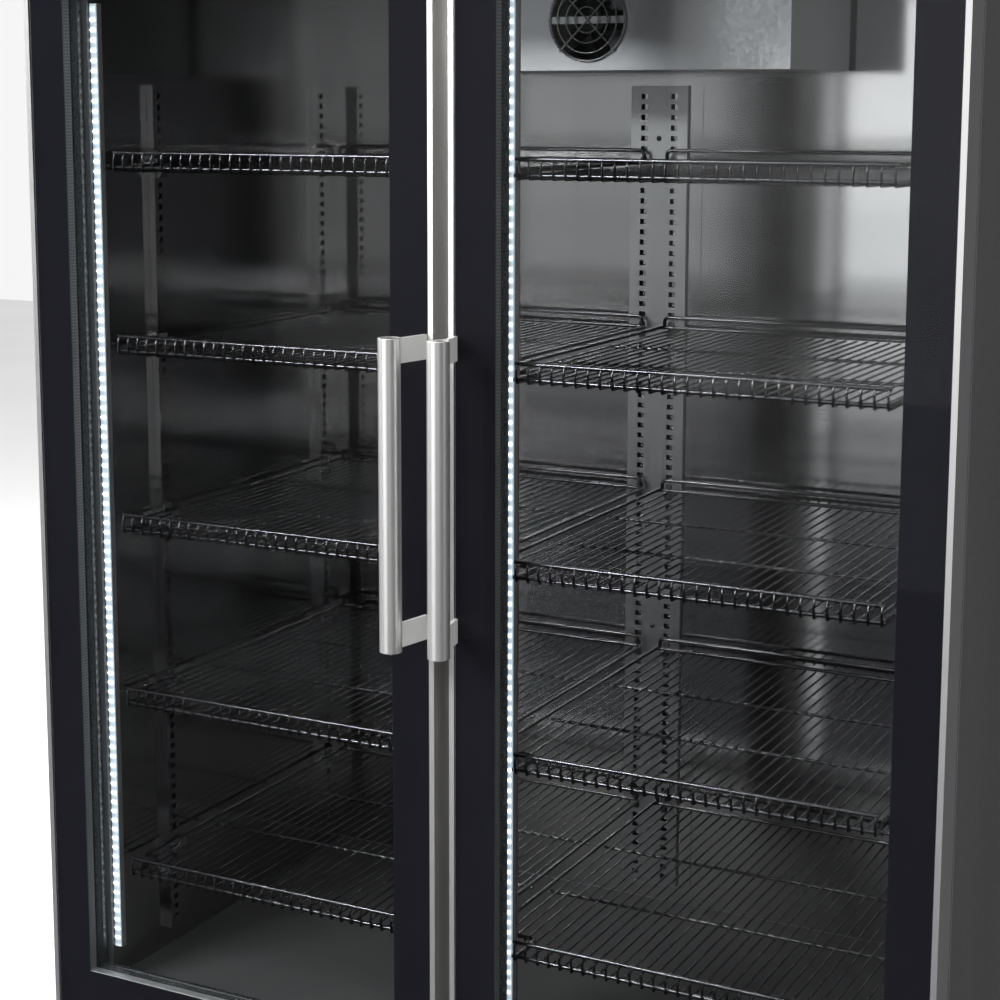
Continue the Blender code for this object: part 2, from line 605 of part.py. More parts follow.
def build_handle(side, side_name, hinge):
    """A round bar on two flat brackets that lean from the door's edge towards the bar."""
    low_z = BAR_CENTRE_Z - BAR_LENGTH / 2
    high_z = BAR_CENTRE_Z + BAR_LENGTH / 2
    bar = rod(f"handle_bar_{side_name}", at(side * BAR_X, BAR_DEPTH, low_z),
              at(side * BAR_X, BAR_DEPTH, high_z), BAR_RADIUS, ALUMINIUM, hinge, sides=48)
    bevel = bar.modifiers.new("rounded_edges", "BEVEL")
    bevel.width = 0.0008
    bevel.segments = 2
    bevel.limit_method = "ANGLE"
    outline = [(BRACKET_FOOT_X, -GAP), (BRACKET_FOOT_X + BRACKET_THICKNESS, -GAP),
               (BAR_X + BRACKET_THICKNESS / 2, BAR_DEPTH), (BAR_X - BRACKET_THICKNESS / 2, BAR_DEPTH)]
    bottoms = {"upper": high_z - BRACKET_END_INSET - BRACKET_HEIGHT, "lower": low_z + BRACKET_END_INSET}
    for place, bottom_z in bottoms.items():
        bm = bmesh.new()
        corners = [bm.verts.new((side * x, depth, 0.0)) for x, depth in outline]
        face = bm.faces.new(corners)
        raised = bmesh.ops.extrude_face_region(bm, geom=[face])["geom"]
        top = [item for item in raised if isinstance(item, bmesh.types.BMVert)]
        bmesh.ops.translate(bm, verts=top, vec=(0.0, 0.0, BRACKET_HEIGHT))
        bmesh.ops.recalc_face_normals(bm, faces=bm.faces)
        name = f"handle_bracket_{side_name}_{place}"
        mesh = bpy.data.meshes.new(name)
        bm.to_mesh(mesh)
        bm.free()
        bracket = new_object(name, mesh, at(0.0, 0.0, bottom_z), ALUMINIUM, hinge)
        cut_round(bracket, at(side * BAR_X, BAR_DEPTH, bottom_z - THROUGH),
                  at(side * BAR_X, BAR_DEPTH, bottom_z + BRACKET_HEIGHT + THROUGH), BAR_RADIUS + GAP,
                  sides=48)


build_outer_skin()
build_insulation()
build_front_frame()
build_base()
build_feet()
build_header()
build_controls()
build_pilasters()
build_shelves()
build_lights()
build_compressor()
build_condenser()
build_evaporator()
for door_side, door_name in ((-1, "left"), (1, "right")):
    build_hinge_brackets(door_side, door_name)
    build_door(door_side, door_name)
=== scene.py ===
"""Looks of the glass door merchandiser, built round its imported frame.

Metres, +X to the cabinet's right, +Y to its back, +Z up. Depths are counted from the front face of
the closed doors. Every piece is drawn where it stands, in the frame's own coordinates.
"""

import json
import math

import bmesh
import bpy
from mathutils import Matrix, Vector

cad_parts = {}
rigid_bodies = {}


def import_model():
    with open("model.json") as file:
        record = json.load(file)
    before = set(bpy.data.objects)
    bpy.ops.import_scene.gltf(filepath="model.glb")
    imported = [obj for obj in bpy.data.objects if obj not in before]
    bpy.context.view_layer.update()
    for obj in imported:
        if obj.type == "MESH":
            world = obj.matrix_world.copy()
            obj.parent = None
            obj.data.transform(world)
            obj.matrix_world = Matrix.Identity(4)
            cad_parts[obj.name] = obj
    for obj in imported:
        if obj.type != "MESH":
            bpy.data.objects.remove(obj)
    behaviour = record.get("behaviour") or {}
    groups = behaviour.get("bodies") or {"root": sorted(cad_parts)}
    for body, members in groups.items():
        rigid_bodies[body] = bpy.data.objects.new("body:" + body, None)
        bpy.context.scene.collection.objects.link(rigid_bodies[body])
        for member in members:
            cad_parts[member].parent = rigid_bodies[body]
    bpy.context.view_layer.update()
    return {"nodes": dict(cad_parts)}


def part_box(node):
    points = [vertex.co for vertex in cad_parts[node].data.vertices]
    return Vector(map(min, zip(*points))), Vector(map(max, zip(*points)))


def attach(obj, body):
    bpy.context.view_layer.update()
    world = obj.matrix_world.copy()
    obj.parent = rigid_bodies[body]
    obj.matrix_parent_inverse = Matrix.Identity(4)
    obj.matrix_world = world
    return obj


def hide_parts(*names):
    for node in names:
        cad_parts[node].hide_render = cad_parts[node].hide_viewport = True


for leftover in list(bpy.data.objects):
    bpy.data.objects.remove(leftover, do_unlink=True)
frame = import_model()

# ---- places, read from the frame ----------------------------------------------------------------
FRONT_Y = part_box("door_outer_glass_right")[0].y
SIDES = {"left": -1, "right": 1}
CABINET = "cabinet"

BORDER_INNER = 0.0750       # a door's clear opening, from the middle of the cabinet: where it starts
BORDER_OUTER = 0.5875       # and where it ends
BORDER_MARGIN_Z = 0.0675    # door's top and bottom edge to the clear opening

SHELVES_PER_BAY = 5
FENCE_START = 0.0773        # first upright of a shelf's front rail, from the middle of the cabinet
FENCE = {"left": 0.5470, "right": 0.5558}     # the last one
UPRIGHTS = 30
FRAME_ROD = 0.0029          # radius of the thick shelf rods
WIRE = 0.0016               # radius of the thin ones
CROSS_ROD = 0.0024          # radius of the rods that carry them
CROSS_ROD_PLACES = (0.38, 0.69)               # as parts of the shelf's depth
RAIL_HEIGHT = 0.020
STOP_HEIGHT = 0.016
CLIP_GAP = 0.0005           # between a shelf and what holds it up

PILASTER_SHEET = 0.0012
SLOT_PITCH = 0.016
SLOT = (0.0108, 0.0080)     # width and height
SLOT_COLUMN = 0.0246        # from the middle of the centre pilaster to each row of slots
LED_PITCH = 0.0139
LINER_SHEET = 0.0015

NOISE_RANGE = (0.3, 0.7)    # most of a noise texture lies between these
GRAIN_DEPTH = 0.0002
BROAD_GRAIN = 0.02          # scale of a finish's slow variation, next to its fine grain


def at(x, depth, z):
    """A point from its sideways place, its depth behind the door face and its height."""
    return Vector((x, FRONT_Y + depth, z))


def depth_of(y):
    return y - FRONT_Y


# ---- materials ----------------------------------------------------------------------------------
def fill(node, **values):
    """Sets a node's inputs, named with _ where the name has a space."""
    for key, value in values.items():
        node.inputs[key.replace("_", " ")].default_value = value


class Nodes:
    """A material's node tree, with short ways to add what the finishes share."""

    def __init__(self, name):
        self.material = bpy.data.materials.new(name)
        self.material.use_nodes = True
        self.tree = self.material.node_tree
        self.shader = self.tree.nodes["Principled BSDF"]
        self.coordinates = self.add("ShaderNodeTexCoord")

    def add(self, kind, **settings):
        node = self.tree.nodes.new(kind)
        for key, value in settings.items():
            setattr(node, key, value)
        return node

    def link(self, start, end):
        self.tree.links.new(start, end)

    def noise(self, scale, detail=4.0, roughness=0.55):
        """Noise whose grain is stretched by a different scale along each axis."""
        mapping = self.add("ShaderNodeMapping")
        fill(mapping, Scale=scale)
        self.link(self.coordinates.outputs["Object"], mapping.inputs["Vector"])
        noise = self.add("ShaderNodeTexNoise")
        fill(noise, Scale=1.0, Detail=detail, Roughness=roughness)
        self.link(mapping.outputs["Vector"], noise.inputs["Vector"])
        return noise.outputs["Fac"]

    def spread(self, source, low, high, to_input):
        """Drives a shader's number from a texture, between two values."""
        reach = self.add("ShaderNodeMapRange")
        fill(reach, From_Min=NOISE_RANGE[0], From_Max=NOISE_RANGE[1], To_Min=low, To_Max=high)
        self.link(source, reach.inputs["Value"])
        self.link(reach.outputs["Result"], self.shader.inputs[to_input])

    def ramp(self, source, dark, light, low=NOISE_RANGE[0], high=NOISE_RANGE[1]):
        """Two colours, blended as a texture rises from a low value to a high one."""
        ramp = self.add("ShaderNodeValToRGB")
        for element, position, colour in zip(ramp.color_ramp.elements, (low, high), (dark, light)):
            element.position = position
            element.color = (*colour, 1.0)
        self.link(source, ramp.inputs["Fac"])
        return ramp.outputs["Color"]

    def tint(self, source, dark, light):
        """Runs the base colour between two colours."""
        self.link(self.ramp(source, dark, light), self.shader.inputs["Base Color"])

    def bump(self, source, strength):
        bump = self.add("ShaderNodeBump")
        fill(bump, Strength=strength, Distance=GRAIN_DEPTH)
        self.link(source, bump.inputs["Height"])
        self.link(bump.outputs["Normal"], self.shader.inputs["Normal"])


def shade(colour, factor):
    return tuple(channel * factor for channel in colour)


def metal(name, colour, roughness, grain, spread, contrast, bump, metallic=1.0, upright=False):
    """Metal with a fine grain, drawn out along the axis whose scale in grain is small.

    The highlights of an upright finish are drawn out by anisotropy, whose tangent is the Z axis.
    """
    n = Nodes(name)
    fill(n.shader, Metallic=metallic)
    if upright:
        fill(n.shader, Anisotropic=0.65)
        way = n.add("ShaderNodeCombineXYZ")
        fill(way, Z=1.0)
        n.link(way.outputs["Vector"], n.shader.inputs["Tangent"])
    fine = n.noise(grain)
    broad = n.noise(shade(grain, BROAD_GRAIN), detail=2.0)
    n.tint(broad, shade(colour, 1.0 - contrast), shade(colour, 1.0 + contrast / 2))
    n.spread(fine, roughness - spread, roughness + spread, "Roughness")
    n.bump(fine, bump)
    return n.material


def painted(name, colour, roughness, peel=350.0, contrast=0.12, bump=0.12, coat=0.0, specular=0.5):
    """Powder coating or moulded plastic: an even colour with a fine orange peel."""
    n = Nodes(name)
    fill(n.shader, Coat_Weight=coat, Coat_Roughness=0.08, Specular_IOR_Level=specular)
    fine = n.noise((peel, peel, peel), detail=3.0)
    broad = n.noise((3.0, 3.0, 1.2), detail=3.0)
    n.tint(broad, shade(colour, 1.0 - contrast), shade(colour, 1.0 + contrast))
    n.spread(fine, roughness * 0.85, roughness * 1.15, "Roughness")
    n.bump(fine, bump)
    return n.material


def galvanised(name):
    """Zinc-coated sheet with its spangle."""
    n = Nodes(name)
    fill(n.shader, Metallic=0.9)
    mapping = n.add("ShaderNodeMapping")
    fill(mapping, Scale=(70.0, 70.0, 70.0))
    n.link(n.coordinates.outputs["Object"], mapping.inputs["Vector"])
    cells = n.add("ShaderNodeTexVoronoi")
    fill(cells, Scale=1.0)
    n.link(mapping.outputs["Vector"], cells.inputs["Vector"])
    channels = n.add("ShaderNodeSeparateColor")
    n.link(cells.outputs["Color"], channels.inputs["Color"])
    n.tint(channels.outputs["Red"], (0.40, 0.41, 0.42), (0.52, 0.53, 0.54))
    n.spread(channels.outputs["Green"], 0.36, 0.50, "Roughness")
    n.bump(n.noise((220.0, 220.0, 220.0)), 0.08)
    return n.material


def liner_steel(name, floor_z):
    """Satin liner sheet, darker and rougher on the cabinet floor than on the walls."""
    material = metal(name, (0.50, 0.495, 0.49), 0.11, (18.0, 500.0, 500.0),
                     spread=0.02, contrast=0.05, bump=0.0)
    floor_roughness = 0.80
    floor_colour = (0.13, 0.13, 0.13, 1.0)
    tree = material.node_tree
    shader = tree.nodes["Principled BSDF"]
    place = tree.nodes.new("ShaderNodeSeparateXYZ")
    tree.links.new(tree.nodes["Texture Coordinate"].outputs["Object"], place.inputs["Vector"])
    low = tree.nodes.new("ShaderNodeMapRange")
    fill(low, From_Min=floor_z + 0.001, From_Max=floor_z + 0.004, To_Min=floor_roughness, To_Max=0.0)
    tree.links.new(place.outputs["Z"], low.inputs["Value"])
    total = tree.nodes.new("ShaderNodeMath")
    total.operation = "MAXIMUM"
    tree.links.new(shader.inputs["Roughness"].links[0].from_socket, total.inputs[0])
    tree.links.new(low.outputs["Result"], total.inputs[1])
    tree.links.new(total.outputs["Value"], shader.inputs["Roughness"])
    darker = tree.nodes.new("ShaderNodeMix")
    darker.data_type = "RGBA"
    # The node has sockets of the same names for each kind of data. These are the ones for colour.
    factor, first, second = darker.inputs[0], darker.inputs[6], darker.inputs[7]
    mixed = darker.outputs[2]
    second.default_value = floor_colour
    tree.links.new(low.outputs["Result"], factor)
    tree.links.new(shader.inputs["Base Color"].links[0].from_socket, first)
    tree.links.new(mixed, shader.inputs["Base Color"])
    return material


def pane(name, mirror, tint):
    """Flat glass that lets lamps through: clear, with a mirror that grows towards grazing angles.

    The mirror follows Schlick's curve, from its value face on. Faint smears vary the tint.
    """
    n = Nodes(name)
    clear = n.add("ShaderNodeBsdfTransparent")
    gloss = n.add("ShaderNodeBsdfGlossy")
    fill(gloss, Color=(1.0, 1.0, 1.0, 1.0), Roughness=0.02)
    half_tint = tuple(0.5 + channel / 2 for channel in tint)
    smears = n.ramp(n.noise((4.0, 4.0, 2.0), detail=3.0), tint, half_tint, 0.25, 0.75)
    n.link(smears, clear.inputs["Color"])
    facing = n.add("ShaderNodeLayerWeight")
    fill(facing, Blend=0.5)
    power = n.add("ShaderNodeMath", operation="POWER")
    schlick_power = 5.0
    power.inputs[1].default_value = schlick_power
    n.link(facing.outputs["Facing"], power.inputs[0])
    schlick = n.add("ShaderNodeMath", operation="MULTIPLY_ADD")
    schlick.inputs[1].default_value = 1.0 - mirror
    schlick.inputs[2].default_value = mirror
    n.link(power.outputs["Value"], schlick.inputs[0])
    mix = n.add("ShaderNodeMixShader")
    n.link(schlick.outputs["Value"], mix.inputs["Fac"])
    n.link(clear.outputs["BSDF"], mix.inputs[1])
    n.link(gloss.outputs["BSDF"], mix.inputs[2])
    n.link(mix.outputs["Shader"], n.tree.nodes["Material Output"].inputs["Surface"])
    n.tree.nodes.remove(n.shader)
    return n.material


def diode_cover(name, bottom_z):
    """Translucent strip cover, lit by the diodes behind it: brightest over each one."""
    n = Nodes(name)
    fill(n.shader, Base_Color=(0.62, 0.70, 0.74, 1.0), Emission_Color=(0.78, 0.90, 1.0, 1.0))
    n.spread(n.noise((300.0, 300.0, 300.0)), 0.22, 0.34, "Roughness")
    place = n.add("ShaderNodeSeparateXYZ")
    n.link(n.coordinates.outputs["Object"], place.inputs["Vector"])
    shifted = n.add("ShaderNodeMath", operation="SUBTRACT")
    shifted.inputs[1].default_value = bottom_z
    n.link(place.outputs["Z"], shifted.inputs[0])
    turns = n.add("ShaderNodeMath", operation="MULTIPLY")
    turns.inputs[1].default_value = math.tau / LED_PITCH
    n.link(shifted.outputs["Value"], turns.inputs[0])
    wave = n.add("ShaderNodeMath", operation="COSINE")
    n.link(turns.outputs["Value"], wave.inputs[0])
    glow = n.add("ShaderNodeMapRange", interpolation_type="SMOOTHSTEP")
    between, over_diode = 0.26, 0.80
    fill(glow, From_Min=-1.0, From_Max=1.0, To_Min=between, To_Max=over_diode)
    n.link(wave.outputs["Value"], glow.inputs["Value"])
    n.link(glow.outputs["Result"], n.shader.inputs["Emission Strength"])
    return n.material


def glowing(name, colour, strength):
    n = Nodes(name)
    fill(n.shader, Emission_Color=(*colour, 1.0), Emission_Strength=strength)
    n.tint(n.noise((500.0, 500.0, 500.0)), shade(colour, 0.9), colour)
    return n.material


WALL_STEEL = liner_steel("wall_steel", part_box("inner_liner")[0].z + LINER_SHEET)
FRAME_STEEL = metal("frame_steel", (0.50, 0.49, 0.48), 0.30, (450.0, 450.0, 8.0),
                    spread=0.06, contrast=0.08, bump=0.15)
PILASTER_STEEL = metal("pilaster_steel", (0.42, 0.42, 0.42), 0.34, (450.0, 450.0, 10.0),
                       spread=0.06, contrast=0.08, bump=0.12)
ALUMINIUM = metal("satin_aluminium", (0.82, 0.815, 0.805), 0.34, (700.0, 700.0, 60.0),
                  spread=0.03, contrast=0.04, bump=0.01, metallic=0.95, upright=True)
HANDLE_METAL = metal("satin_tube", (0.86, 0.855, 0.845), 0.40, (900.0, 900.0, 90.0),
                     spread=0.03, contrast=0.03, bump=0.01, metallic=0.92, upright=True)
BRACKET_METAL = painted("cast_silver", (0.44, 0.44, 0.43), 0.42, peel=500.0, contrast=0.05,
                        bump=0.10)
CAP_METAL = metal("turned_cap", (0.34, 0.33, 0.31), 0.38, (700.0, 700.0, 700.0),
                  spread=0.06, contrast=0.08, bump=0.10)
SPACER_METAL = metal("spacer_aluminium", (0.46, 0.48, 0.48), 0.45, (300.0, 300.0, 12.0),
                     spread=0.06, contrast=0.05, bump=0.08)
PLAIN_ALUMINIUM = metal("mill_aluminium", (0.66, 0.67, 0.68), 0.40, (160.0, 160.0, 160.0),
                        spread=0.08, contrast=0.10, bump=0.10)
ZINC = galvanised("galvanised_sheet")
SCREW_METAL = metal("plated_screw", (0.55, 0.55, 0.54), 0.28, (400.0, 400.0, 400.0),
                    spread=0.06, contrast=0.10, bump=0.08)
BODY_PAINT = painted("body_paint", (0.052, 0.051, 0.050), 0.42, bump=0.20)
HEADER_PAINT = painted("header_gloss", (0.009, 0.009, 0.011), 0.16, peel=120.0, bump=0.05, coat=0.5)
PRINT = painted("black_print", (0.0072, 0.0072, 0.0096), 0.60, peel=500.0, bump=0.05, specular=0.0)
WIRE_COAT = metal("wire_coating", (0.105, 0.105, 0.110), 0.16, (260.0, 260.0, 260.0),
                  spread=0.02, contrast=0.10, bump=0.01)
BEAD = painted("glazing_bead_plastic", (0.034, 0.038, 0.040), 0.28, peel=300.0)
BREAKER = painted("breaker_strip_plastic", (0.085, 0.090, 0.094), 0.40, peel=300.0)
HOLE_METAL = metal("bright_hole_rim", (0.92, 0.94, 0.94), 0.50, (300.0, 300.0, 300.0),
                   spread=0.06, contrast=0.05, bump=0.05)
RUBBER = painted("gasket_rubber", (0.028, 0.030, 0.030), 0.62, peel=420.0, bump=0.25)
BLACK_PLASTIC = painted("textured_plastic", (0.016, 0.016, 0.017), 0.46, peel=600.0, bump=0.30)
ENAMEL = painted("compressor_enamel", (0.012, 0.012, 0.013), 0.30, peel=90.0, bump=0.15)
FOAM = painted("rigid_foam", (0.80, 0.70, 0.42), 0.85, peel=250.0, bump=0.40)
LABEL = painted("blank_plate", (0.62, 0.63, 0.63), 0.40, peel=200.0, bump=0.04)
GLASS = pane("door_glass", mirror=0.005, tint=(0.974, 0.980, 0.983))
LED_COVER = diode_cover("diode_cover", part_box("light_right_bay")[0].z)
COVER_EDGE = glowing("cover_edge", (0.46, 0.56, 0.62), strength=0.42)
REAR_GLOW = glowing("rear_cover", (0.95, 0.97, 1.0), strength=0.9)
LED = glowing("diode", (0.92, 0.97, 1.0), strength=3.0)
DISPLAY = glowing("display_segments", (0.45, 0.75, 1.0), strength=2.5)


# ---- shapes -------------------------------------------------------------------------------------
class Shape:
    """A mesh put together from closed shapes."""

    def __init__(self):
        self.bm = bmesh.new()

    def block(self, low, high):
        low, high = Vector(low), Vector(high)
        low, high = Vector(map(min, low, high)), Vector(map(max, low, high))
        transform = Matrix.Translation((low + high) / 2) @ Matrix.Diagonal((*(high - low), 1.0))
        bmesh.ops.create_cube(self.bm, size=1.0, matrix=transform)

    def join(self, first, second):
        """Faces between two closed loops of equally many vertices."""
        count = len(first)
        for k in range(count):
            after = (k + 1) % count
            self.bm.faces.new((first[k], first[after], second[after], second[k]))

    def strip(self, rows):
        """Joins rings of equally many points, and caps the two ends."""
        loops = [[self.bm.verts.new(point) for point in row] for row in rows]
        for first, second in zip(loops, loops[1:]):
            self.join(first, second)
        self.bm.faces.new(loops[0])
        self.bm.faces.new(list(reversed(loops[-1])))

    def tube(self, path, radius, sides=8):
        """A round wire along a line of points."""
        path = [Vector(point) for point in path]
        ahead = [(b - a).normalized() for a, b in zip(path, path[1:])]
        tangents = [ahead[0]]
        tangents += [(a + b).normalized() for a, b in zip(ahead, ahead[1:])]
        tangents.append(ahead[-1])
        across = tangents[0].orthogonal().normalized()
        angles = [math.tau * k / sides for k in range(sides)]
        rows = []
        for point, tangent in zip(path, tangents):
            across = (across - tangent * across.dot(tangent)).normalized()
            up = tangent.cross(across)
            rows.append([point + radius * (math.cos(a) * across + math.sin(a) * up) for a in angles])
        self.strip(rows)

    def turned(self, profile, centre, axis=(0, 0, 1), sides=48):
        """A profile of (radius, height) points turned about an axis through a point."""
        turn = Vector((0, 0, 1)).rotation_difference(Vector(axis)).to_matrix()
        smallest = 1e-5
        rows = []
        for radius, height in profile:
            reach = max(radius, smallest)
            ring = [Vector((reach * math.cos(math.tau * k / sides),
                            reach * math.sin(math.tau * k / sides), height)) for k in range(sides)]
            rows.append([Vector(centre) + turn @ point for point in ring])
        self.strip(rows)

    def extrude(self, outline, travel):
        """A flat outline drawn out along a vector."""
        travel = Vector(travel)
        self.strip([outline, [Vector(point) + travel for point in outline]])

    def ring(self, profile):
        """Rectangles (x0, x1, z0, z1, depth) joined one after another into a closed frame."""
        loops = []
        for x0, x1, z0, z1, depth in profile:
            corners = ((x0, z0), (x1, z0), (x1, z1), (x0, z1))
            loops.append([self.bm.verts.new(at(x, depth, z)) for x, z in corners])
        for first, second in zip(loops, loops[1:] + loops[:1]):
            self.join(first, second)

    def pierced(self, u_lines, v_lines, is_open, place, travel):
        """A plate on a grid of lines, left open in some cells, drawn out along a vector."""
        verts = [[self.bm.verts.new(place(u, v)) for v in v_lines] for u in u_lines]
        faces = []
        for i in range(len(u_lines) - 1):
            for j in range(len(v_lines) - 1):
                if not is_open(i, j):
                    corners = (verts[i][j], verts[i + 1][j], verts[i + 1][j + 1], verts[i][j + 1])
                    faces.append(self.bm.faces.new(corners))
        raised = bmesh.ops.extrude_face_region(self.bm, geom=faces, use_keep_orig=True)["geom"]
        moved = [item for item in raised if isinstance(item, bmesh.types.BMVert)]
        bmesh.ops.translate(self.bm, verts=moved, vec=Vector(travel))
        loose = [v for row in verts for v in row if not v.link_faces]
        bmesh.ops.delete(self.bm, geom=loose, context="VERTS")
        # The extrusion leaves its faces in an order that differs from run to run.
        in_order = sorted(self.bm.faces, key=lambda face: tuple(face.calc_center_median()))
        for index, face in enumerate(in_order):
            face.index = index
        self.bm.faces.sort()

    def piece(self, name, material, body=CABINET, stands_for=(), smooth=35, bevel=0.0):
        """The shape as an object that rides a body, shaded sharp at angles above smooth degrees."""
        bmesh.ops.recalc_face_normals(self.bm, faces=self.bm.faces)
        mesh = bpy.data.meshes.new(name)
        self.bm.to_mesh(mesh)
        self.bm.free()
        mesh.materials.append(material)
        mesh.shade_smooth()
        mesh.set_sharp_from_angle(angle=math.radians(smooth))
        obj = bpy.data.objects.new(name, mesh)
        bpy.context.scene.collection.objects.link(obj)
        if bevel:
            rounded = obj.modifiers.new("rounded_edges", "BEVEL")
            rounded.width = bevel
            rounded.segments = 2
            rounded.limit_method = "ANGLE"
            rounded.harden_normals = True
        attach(obj, body)
        if stands_for:
            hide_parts(*stands_for)
        return obj


def rounded(points, radius, steps=4):
    """A line of points with its corners rounded, as far as the lengths between them allow."""
    longest_cut = 0.49
    points = [Vector(point) for point in points]
    path = [points[0]]
    for before, corner, after in zip(points, points[1:], points[2:]):
        back = (before - corner).normalized()
        on = (after - corner).normalized()
        half = back.angle(on) / 2
        cut = min(radius / math.tan(half), (before - corner).length * longest_cut,
                  (after - corner).length * longest_cut)
        start, end = corner + back * cut, corner + on * cut
        for k in range(steps + 1):
            t = k / steps
            path.append((1 - t) ** 2 * start + 2 * t * (1 - t) * corner + t ** 2 * end)
    path.append(points[-1])
    return path


# The profile of a screw's pan head and its recess, as (radius, height).
SCREW_HEAD = [(0.0, 0.0), (0.0042, 0.0), (0.0040, 0.0006), (0.0030, 0.0013), (0.0016, 0.0016),
              (0.0015, 0.0007), (0.0, 0.0006)]


# ---- carried-over nodes -------------------------------------------------------------------------
def repaint(material, *nodes):
    """Gives nodes that show as they are their material."""
    for name in nodes:
        obj = frame["nodes"][name]
        for held in obj.material_slots:
            held.material = material
        if not obj.material_slots:
            obj.data.materials.append(material)


def repaint_frame_nodes():
    repaint(WALL_STEEL, "inner_liner")
    repaint(FRAME_STEEL, "centre_mullion", "hinge_left_top", "hinge_left_bottom", "hinge_right_top",
            "hinge_right_bottom")
    repaint(BREAKER, "front_frame")
    repaint(BODY_PAINT, "outer_side_left", "outer_side_right", "top_cover")
    repaint(HEADER_PAINT, "header_panel")
    repaint(ZINC, "outer_back", "unit_deck", "base_pan", "condenser_fan_shroud")
    repaint(FOAM, "foam_insulation")
    repaint(PLAIN_ALUMINIUM, "condenser_coil", "evaporator_coil", "evaporator_housing")
    repaint(ENAMEL, "compressor")
    repaint(BLACK_PLASTIC, "controller", "power_inlet", "condenser_fan", "evaporator_fan")
    for side in SIDES:
        repaint(ALUMINIUM, f"door_frame_{side}")
        repaint(GLASS, f"door_outer_glass_{side}", f"door_inner_glass_{side}")
        repaint(RUBBER, f"door_gasket_{side}")
        repaint(BRACKET_METAL, f"handle_bracket_{side}_upper", f"handle_bracket_{side}_lower")


# ---- doors --------------------------------------------------------------------------------------
def clear_opening(side_name):
    """The see-through part of a door: x0, x1, z0, z1."""
    side = SIDES[side_name]
    low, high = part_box(f"door_frame_{side_name}")
    x0, x1 = sorted((side * BORDER_INNER, side * BORDER_OUTER))
    return x0, x1, low.z + BORDER_MARGIN_Z, high.z - BORDER_MARGIN_Z


def grown(rect, margin, depth):
    """A rectangle with a margin on all sides, at a depth, for Shape.ring."""
    x0, x1, z0, z1 = rect
    return x0 - margin, x1 + margin, z0 - margin, z1 + margin, depth


def build_border(side_name):
    """Black print on the back of the outer pane."""
    body = f"door_{side_name}"
    low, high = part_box(f"door_outer_glass_{side_name}")
    edge = (low.x, high.x, low.z, high.z)
    clear = clear_opening(side_name)
    gap, thickness, inset = 0.00005, 0.00015, 0.0001
    front = depth_of(high.y) + gap
    back = front + thickness
    print_ring = Shape()
    print_ring.ring([grown(edge, -inset, front), grown(clear, 0.0, front),
                     grown(clear, 0.0, back), grown(edge, -inset, back)])
    print_ring.piece(f"black_border_{side_name}", PRINT, body)


def build_spacer(side_name):
    """Perforated bar that holds the panes apart, flush with the border's edge, and its holes."""
    body = f"door_{side_name}"
    clear = clear_opening(side_name)
    front = depth_of(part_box(f"door_outer_glass_{side_name}")[1].y) + 0.0006
    back = depth_of(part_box(f"door_inner_glass_{side_name}")[0].y) - 0.0001
    width, inset, chamfer = 0.0075, 0.0008, 0.0010
    spacer = Shape()
    spacer.ring([grown(clear, width, front), grown(clear, inset, front),
                 grown(clear, 0.0, front + chamfer), grown(clear, 0.0, back - chamfer),
                 grown(clear, inset, back), grown(clear, width, back)])
    spacer.piece(f"glass_spacer_{side_name}", SPACER_METAL, body)

    x0, x1, z0, z1 = clear
    dots = Shape()
    pitch, half, proud, margin = 0.0044, 0.0009, 0.00008, 0.005
    for column in (0.25, 0.5, 0.75):
        depth = front + (back - front) * column
        near, far = depth - half, depth + half
        for index in range(int((z1 - z0 - 2 * margin) / pitch)):
            z = z0 + margin + index * pitch
            for x in (x0, x1):
                dots.block(at(x - proud, near, z - half), at(x + proud, far, z + half))
        for index in range(int((x1 - x0 - 2 * margin) / pitch)):
            x = x0 + margin + index * pitch
            for z in (z0, z1):
                dots.block(at(x - half, near, z - proud), at(x + half, far, z + proud))
    dots.piece(f"spacer_holes_{side_name}", HOLE_METAL, body)


def build_bead(side_name):
    """Stepped plastic bead that holds the glass unit in the door frame, from inside.

    Its profile is given as (margin outside the clear opening, depth).
    """
    clear = clear_opening(side_name)
    front = depth_of(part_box(f"door_inner_glass_{side_name}")[1].y) + 0.0004
    back = depth_of(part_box(f"door_frame_{side_name}")[1].y) - 0.0006
    width = 0.0122
    steps = [(width, front), (0.0012, front), (0.0012, front + 0.0060), (0.0030, front + 0.0070),
             (0.0030, front + 0.0130), (0.0022, front + 0.0138), (0.0022, front + 0.0152),
             (0.0034, front + 0.0160), (0.0034, back - 0.0040), (0.0060, back), (width, back)]
    bead = Shape()
    bead.ring([grown(clear, margin, depth) for margin, depth in steps])
    bead.piece(f"glazing_bead_{side_name}", BEAD, f"door_{side_name}")


